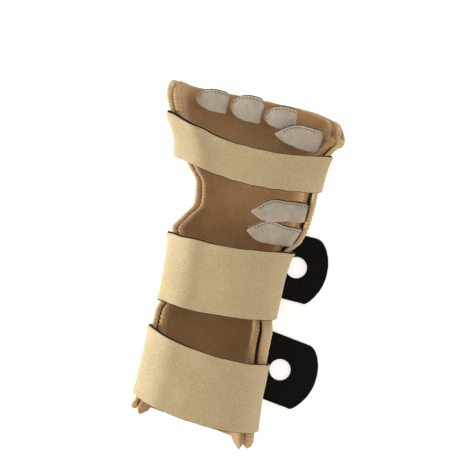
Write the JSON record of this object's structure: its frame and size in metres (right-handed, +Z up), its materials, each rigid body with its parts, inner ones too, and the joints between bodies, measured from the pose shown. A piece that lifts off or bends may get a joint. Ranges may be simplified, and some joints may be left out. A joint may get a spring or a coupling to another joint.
{
  "type": "resting hand splint",
  "caption": "Right resting hand splint: lined, padded trough for forearm, wrist and palm, with wide wrap straps, round-holed pull tabs, finger straps and short dorsal tabs.",
  "frame": {"origin": "on the surface the splint lies on, under the forearm strap, at mid-width of the trough", "axes": "+Y towards the fingertips, +X towards the little-finger side, +Z up, towards the back of the hand"},
  "size_m": [0.1507, 0.2508, 0.0688],
  "materials": {
    "shell_fabric": "matte brushed knit, padded",
    "liner_fabric": "soft matte fleece",
    "strap_laminate": "matte loop-faced foam laminate",
    "pull_tab_laminate": "matte black felt face",
    "suede": "matte suede-like"
  },
  "bodies": {
    "root": {"shell": "shell_fabric", "liner": "liner_fabric", "forearm_strap": "strap_laminate", "forearm_pull_tab": "pull_tab_laminate", "wrist_strap": "strap_laminate", "wrist_pull_tab": "pull_tab_laminate", "hand_strap": "strap_laminate", "index_finger_strap": "suede", "middle_finger_strap": "suede", "ring_finger_strap": "suede", "little_finger_strap": "suede", "distal_dorsal_tab": "suede", "proximal_dorsal_tab": "suede"}
  },
  "joints": []
}
